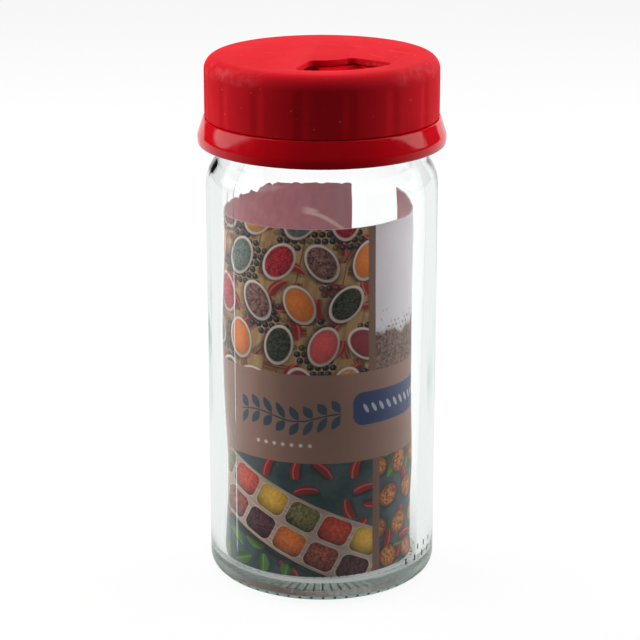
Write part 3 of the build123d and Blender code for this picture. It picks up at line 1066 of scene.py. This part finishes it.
class JAR_OT_card(bpy.types.Operator):
    """Make the printed card, rolled inside the glass with its gap at the back right"""

    bl_idname = "spice_jar.card"
    bl_label = "Printed card"

    def execute(self, context):
        looks = context.scene.jar_print
        first, last = radians(-203.5), radians(113)
        columns, rows = 240, 44
        thickness = 0.35 * MM
        low, high = CARD_LOW.z, CARD_HIGH.z
        mesh = bmesh.new()

        def card_point(column, row, depth):
            angle = first + (last - first) * column / columns
            share_up = row / rows
            radius = CARD_RADIUS + (0.30 - 0.62 * share_up) * MM - depth
            shift = CARD_SHIFT + (0.28 * share_up - 0.40) * MM
            torn = 0.22 * sin(31 * angle) + 0.16 * sin(53 * angle + 1) + 0.12 * sin(97 * angle)
            behind = smooth_step(radians(95), radians(120), -angle)
            top = high - max(0, 1.25 + 1.3 * torn) * MM * behind
            return radius * sin(angle) - shift, -radius * cos(angle), low + (top - low) * share_up

        def section(column):
            """Points round the sheet's section: up its outer side and down its inner side."""
            places = [card_point(column, row, 0) for row in range(rows + 1)]
            places += [card_point(column, row, thickness) for row in range(rows, -1, -1)]
            return [mesh.verts.new(place) for place in places]

        sections = [section(column) for column in range(columns + 1)]
        for here, after in zip(sections, sections[1:]):
            join_rings(mesh, here, after)
        printed, back, edge = range(3)
        slots = [printed] * rows + [edge] + [back] * rows + [edge]
        for index, face in enumerate(mesh.faces):
            face.material_index = slots[index % len(slots)]
        for end in (sections[0], sections[-1]):
            for row in range(rows):
                corners = (end[row], end[row + 1], end[-2 - row], end[-1 - row])
                mesh.faces.new(corners).material_index = edge
        card = finished("label_card_printed", mesh)
        for material in (printed_face(looks), plain_back(looks), cut_edge()):
            card.data.materials.append(material)
        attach(card, "jar")
        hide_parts("label_card")
        return {"FINISHED"}


class JAR_OT_seal(bpy.types.Operator):
    """Make the foam ring that seals the rim"""

    bl_idname = "spice_jar.seal"
    bl_label = "Sealing ring"

    def execute(self, context):
        outer, low, high = RING_HIGH.x, RING_LOW.z, RING_HIGH.z
        inner = outer - 2.8 * MM
        places = ((outer, low), (outer, high), (inner, high), (inner, low))
        start = ((inner + outer) / 2, low)
        outline = soft_outline(start, *[(*place, 0.18 * MM) for place in places], start)[:-1]
        mesh = bmesh.new()
        rings = [ring_of(mesh, spot, 192) for spot in outline]
        for lower, upper in zip(rings, rings[1:] + rings[:1]):
            join_rings(mesh, lower, upper)
        ring = finished("seal_ring_foam", mesh)
        ring.data.materials.append(seal_white())
        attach(ring, "lid_lifter")
        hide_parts("seal_ring")
        return {"FINISHED"}


class JAR_OT_collar(bpy.types.Operator):
    """Make the glossy collar: flared skirt, threaded tower, deck, holes and stops"""

    bl_idname = "spice_jar.collar"
    bl_label = "Screw collar"

    def execute(self, context):
        looks = context.scene.jar_lid
        bore = looks.collar_bore
        tower = bore + looks.tower_wall
        wall = 1.1 * MM
        ledge = COLLAR_LOW.z + 5.66 * MM
        widest = COLLAR_HIGH.x
        top = widest - 1.3 * MM
        lip = widest - 0.15 * MM
        bulge = COLLAR_LOW.z + 1.8 * MM
        deck_under = RING_HIGH.z
        tower_top = deck_under + wall
        plug = 18.95 * MM
        plug_inner = plug - 0.9 * MM
        plug_low = deck_under - 2 * MM
        plateau = looks.window_outer + 0.6 * MM
        under = DECK_TOP - wall
        ridge_low = ledge + 2.5 * MM
        ridge = tower + 0.4 * MM
        edge = 0.2 * MM
        outline = soft_outline(
            (0, under),
            (plug_inner, under, edge),
            (plug_inner, plug_low, edge),
            (plug, plug_low, edge),
            (plug, deck_under),
            (bore, deck_under),
            (bore, ledge - wall, edge),
            (top - wall, ledge - wall, 0.5 * MM),
            (widest - wall, bulge, 3 * MM),
            (lip - wall, COLLAR_LOW.z, 0.3 * MM),
            (lip, COLLAR_LOW.z, 0.45 * MM),
            (widest, bulge, 3 * MM),
            (top, ledge, 0.28 * MM),
            (tower, ledge, edge),
            (tower, ridge_low, 0.1 * MM),
            (ridge, ridge_low, 0.12 * MM),
            (tower, ridge_low + 1.25 * MM, 0.3 * MM),
            (tower, tower_top, 0.3 * MM),
            (plateau, tower_top, 0.3 * MM),
            (plateau, DECK_TOP, 0.4 * MM),
            (0, DECK_TOP),
        )
        outline = rows_between(outline, ledge, deck_under, 0.25 * MM, plug)

        def threaded(radius, angle, height):
            if abs(radius - bore) < 0.01 * MM and ledge < height < deck_under - 0.4 * MM:
                lift = thread_lift(angle, height, ledge + 1.3 * MM, 3.2 * MM, 1.4, 0.8 * MM)
                return radius - lift * 0.34 * MM, height
            return radius, height

        def through(name, outline):
            return prism(name, outline, deck_under - MM, DECK_TOP + MM)

        collar = turned_mesh("screw_collar_moulded", outline, 256, threaded, flats=True)
        pour_inner, pour_outer, pour_span = 8.0 * MM, 16.6 * MM, radians(66)
        pour_middle = looks.window_middle - HOLE_TURN
        pour = sector_outline(pour_inner, pour_outer, pour_middle, pour_span, 1.2 * MM)
        cutters = [through("pouring_hole", pour)]
        hole = 1.1 * MM
        near_row, far_row = 10.3 * MM, 14.5 * MM
        pitch = (2 * hole + 0.86 * MM) / near_row
        round_hole = [Vector((cos(tau * step / 24), sin(tau * step / 24))) * hole for step in range(24)]
        for row in (near_row, far_row):
            for column in range(4):
                angle = looks.window_middle + HOLE_TURN + (column - 1.5) * pitch
                middle = Vector((sin(angle), -cos(angle))) * row
                cutters.append(through("shaker_hole", [middle + spot for spot in round_hole]))
        join_or_cut(collar, cutters, "DIFFERENCE")
        stops = []
        stop_inner, stop_outer = 18.8 * MM, 22.45 * MM
        stop_low, stop_high = tower_top - 0.2 * MM, DECK_TOP - 0.15 * MM
        lug = looks.window_middle + pi
        for angle in (lug - HOLE_TURN - STOP_GAP, lug + 3 * HOLE_TURN + STOP_GAP):
            block = sector_outline(stop_inner, stop_outer, angle, LUG_SPAN, 0.3 * MM)
            stops.append(prism("stop", block, stop_low, stop_high))
        join_or_cut(collar, stops, "UNION")
        soften(collar, 0.16 * MM)
        collar.data.materials.clear()
        collar.data.materials.append(gloss_red(looks))
        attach(collar, "collar")
        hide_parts("screw_collar")
        return {"FINISHED"}


class JAR_OT_cap(bpy.types.Operator):
    """Make the matte turning cap with its flutes and pouring window"""

    bl_idname = "spice_jar.cap"
    bl_label = "Turning cap"

    def execute(self, context):
        looks = context.scene.jar_lid
        tower = looks.collar_bore + looks.tower_wall
        low, high = CAP_LOW.z, CAP_HIGH.z
        inner = CAP_RADIUS - looks.cap_wall
        under = high - looks.cap_top
        bead_high = low + 2.08 * MM
        edge = 0.1 * MM
        outline = soft_outline(
            (0, under),
            (inner, under, 1.4 * MM),
            (inner, bead_high, edge),
            (tower + 0.2 * MM, bead_high, edge),
            (inner, bead_high - 0.8 * MM, edge),
            (inner, low, 0.12 * MM),
            (CAP_RADIUS, low, 0.25 * MM),
            (CAP_RADIUS, high, looks.cap_round),
            (0, high),
        )
        outline = rows_between(outline, low, high, 0.6 * MM, inner + 0.2 * MM)
        fade_low, fade_high = high - 4.6 * MM, high - 2.4 * MM
        half = looks.flute_width / 2 / CAP_RADIUS
        pitch = tau / looks.flutes
        first = radians(9.6)

        def fluted(radius, angle, height):
            off = (angle + first + pitch / 2) % pitch - pitch / 2
            plain = radius < CAP_RADIUS - 0.4 * MM or height > fade_high + 0.4 * MM
            if plain or abs(off) >= half:
                return radius, height
            valley = (1 + cos(pi * off / half)) / 2
            fade = 1 - smooth_step(fade_low, fade_high, height)
            return radius - looks.flute_depth * valley * fade, height

        cap = turned_mesh("turning_cap_moulded", outline, 640, fluted, flats=True)
        middle = looks.window_middle
        window = sector_outline(looks.window_inner, looks.window_outer, middle, looks.window_span, 1.7 * MM)
        join_or_cut(cap, [prism("window", window, under - MM, high + MM)], "DIFFERENCE")
        lug_inner, lug_outer = 19.3 * MM, 22.9 * MM
        lug_low, lug_high = RING_HIGH.z + 1.4 * MM, under + 0.2 * MM
        lug = sector_outline(lug_inner, lug_outer, middle + pi, LUG_SPAN, 0.3 * MM)
        join_or_cut(cap, [prism("lug", lug, lug_low, lug_high)], "UNION")
        soften(cap, 0.55 * MM, radians(70))
        cap.data.materials.clear()
        cap.data.materials.append(matte_red(looks))
        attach(cap, "cap")
        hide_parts("turning_cap")
        return {"FINISHED"}


def add_lamp(name, spot, target, wide, high, watts):
    """A soft rectangular lamp that shines at a target."""
    data = bpy.data.lights.new(name, "AREA")
    data.shape, data.size, data.size_y, data.energy = "RECTANGLE", wide, high, watts
    lamp = bpy.data.objects.new(name, data)
    lamp.location = spot
    lamp.rotation_euler = (Vector(target) - Vector(spot)).to_track_quat("-Z", "Y").to_euler()
    lamp.visible_camera = lamp.visible_glossy = lamp.visible_transmission = False
    bpy.context.scene.collection.objects.link(lamp)
    return lamp


def studio_light(mix, polished, inner, room, room_inside, shade=0):
    """What a ray sees of the studio, as a brightness, and whether it lights the jar's surfaces.

    The camera sees white, also through glass. A polished surface mirrors the first brightness,
    and light that the glass throws about inside itself finds the second. Shade is painted shade:
    how much darker the brightness is made where it is seen through the glass.
    """
    path = mix.node("ShaderNodeLightPath", output="Ray Depth")
    through = path.other("Transmission Depth")
    lighting = path.other("Diffuse Depth") > 0.5
    straight = path - through < 0.5
    within = through > 0.5
    mirrored = polished + within * (inner - polished)
    seen = mirrored + straight * (1 - within * shade - mirrored)
    level = room + within * (room_inside - room)
    return seen + lighting * (level - seen), straight, lighting


def floor_finish(looks):
    """Pale floor that the camera sees as white, with the jar's soft shadow on it.

    The shadow is real in its matte share; in its glow it is painted shade, under and behind the jar.
    """
    mix = new_material("studio_floor")
    across, back, up = mix.place()
    reach = mix.maths("SQRT", across * across + back * back + 1)
    front = -back / reach
    polished = 0.03 + mix.fade(-0.85, 0.75, front) * 0.85
    inner = mix.larger(0.94 - mix.step(-0.1, 0.8, front) * 0.74, mix.fade(45, 85, reach) * 0.42)
    # Painted shadow: the glow is made darker under the jar's foot and, less, behind it, where the glass
    # shows the floor
    shade = mix.larger(mix.fade(18, 25, reach) * looks.shade_under, mix.fade(25, 80, reach) * 0.45)
    brightness, straight, lighting = studio_light(mix, polished, inner, 0, 0, shade)
    cloud = mix.noise((across, back), 0.01, 2)
    colour = mix.mottle(cloud, looks.floor, (0.92, 0.92, 0.92))
    colour = mix.blend(lighting, colour, (0.08, 0.08, 0.08))
    matte = mix.plastic(Base_Color=colour, Roughness=0.8 + cloud * 0.1, Specular_IOR_Level=0.0)
    glow = mix.node("ShaderNodeEmission", inputs={"Color": mix.grey(brightness)})
    share_of_glow = 1 - straight * 0.11 - lighting + straight * lighting * 0.11
    return mix.finish(mix.both(share_of_glow, matte, glow))


def light_room(looks):
    """A white background for the camera, and gentle light from all round for the jar.

    What is polished mirrors a dark room with a soft box at each side and white behind the jar.
    """
    world = bpy.data.worlds.new("studio")
    bpy.context.scene.world = world
    mix = Recipe(world, "ShaderNodeOutputWorld")
    direction = mix.node("ShaderNodeTexCoord", output="Generated")
    side = mix.node("ShaderNodeSeparateXYZ", inputs={0: direction})
    front, rise = -side.other(1), side.other(2)
    right = side > 0
    low = mix.larger(front + 0.25, 0) * 0.50 + 0.09
    boxes = mix.inside(front, -0.50 + right * 0.16, 0.50 + right * 0.06, 0.06)
    boxes = boxes * mix.inside(rise - low, 0, 0.26, 0.02)
    behind = mix.fade(-0.95, -0.89, front - right * 0.17)
    polished = mix.larger(mix.larger(boxes * 1.6, behind), 0.03)
    inner = 0.97 - mix.step(-0.1, 0.8, front) * 0.81
    lamps = mix.inside(front, -0.67, 0.23, 0.1) * mix.inside(rise, 0.2, 0.78, 0.08)
    level = lamps * looks.lamps_inside + looks.room_inside
    brightness = studio_light(mix, polished, inner, looks.room, level)[0]
    mix.finish(mix.node("ShaderNodeBackground", inputs={"Color": mix.grey(brightness)}))


class JAR_OT_studio(bpy.types.Operator):
    """Set up the floor, the lamps, the background and the camera"""

    bl_idname = "spice_jar.studio"
    bl_label = "Studio"

    def execute(self, context):
        looks = context.scene.jar_studio
        scene = context.scene
        mesh = bmesh.new()
        bmesh.ops.create_grid(mesh, x_segments=8, y_segments=8, size=3)
        floor_piece = finished("studio_floor", mesh)
        floor_piece.data.materials.append(floor_finish(looks))
        middle = (0, 0, 0.055)
        add_lamp("top_lamp", (0, 0.26, 0.50), (0, 0, 0.1), 0.45, 0.35, looks.top_watts)
        add_lamp("left_lamp", (-0.42, 0.14, 0.33), middle, 0.7, 0.42, looks.left_watts)
        add_lamp("right_lamp", (0.42, 0.15, 0.33), middle, 0.7, 0.42, looks.right_watts)
        light_room(looks)
        data = bpy.data.cameras.new("camera")
        data.lens, data.sensor_width = looks.lens, 36
        camera = bpy.data.objects.new("camera", data)
        camera.location = (looks.camera_side, -looks.camera_back, looks.camera_high)
        camera.rotation_euler = (pi / 2 - looks.camera_pitch, 0, 0)
        scene.collection.objects.link(camera)
        scene.camera = camera
        scene.view_settings.view_transform = "Standard"
        # Light crosses many walls of glass before it leaves the jar
        scene.cycles.max_bounces = scene.cycles.transmission_bounces = 24
        scene.cycles.glossy_bounces = 16
        return {"FINISHED"}


OPERATORS = (JAR_OT_glass, JAR_OT_card, JAR_OT_seal, JAR_OT_collar, JAR_OT_cap, JAR_OT_studio)


class JAR_PT_looks(bpy.types.Panel):
    """Sizes, colours and steps of the spice jar"""

    bl_idname = "JAR_PT_looks"
    bl_label = "Spice jar"
    bl_space_type = "VIEW_3D"
    bl_region_type = "UI"
    bl_category = "Spice jar"

    def draw(self, context):
        for name, group in LOOKS.items():
            box = self.layout.box()
            for key in group.__annotations__:
                box.prop(getattr(context.scene, name), key)
        for operator in OPERATORS:
            self.layout.operator(operator.bl_idname)


CLASSES = (*LOOKS.values(), *OPERATORS, JAR_PT_looks)


def register():
    for part in CLASSES:
        bpy.utils.register_class(part)
    for name, group in LOOKS.items():
        setattr(bpy.types.Scene, name, PointerProperty(type=group))


def unregister():
    for name in LOOKS:
        delattr(bpy.types.Scene, name)
    for part in reversed(CLASSES):
        bpy.utils.unregister_class(part)


def main():
    """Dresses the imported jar."""
    register()
    for operator in OPERATORS:
        group, step = operator.bl_idname.split(".")
        getattr(getattr(bpy.ops, group), step)()


if __name__ == "__main__":
    main()
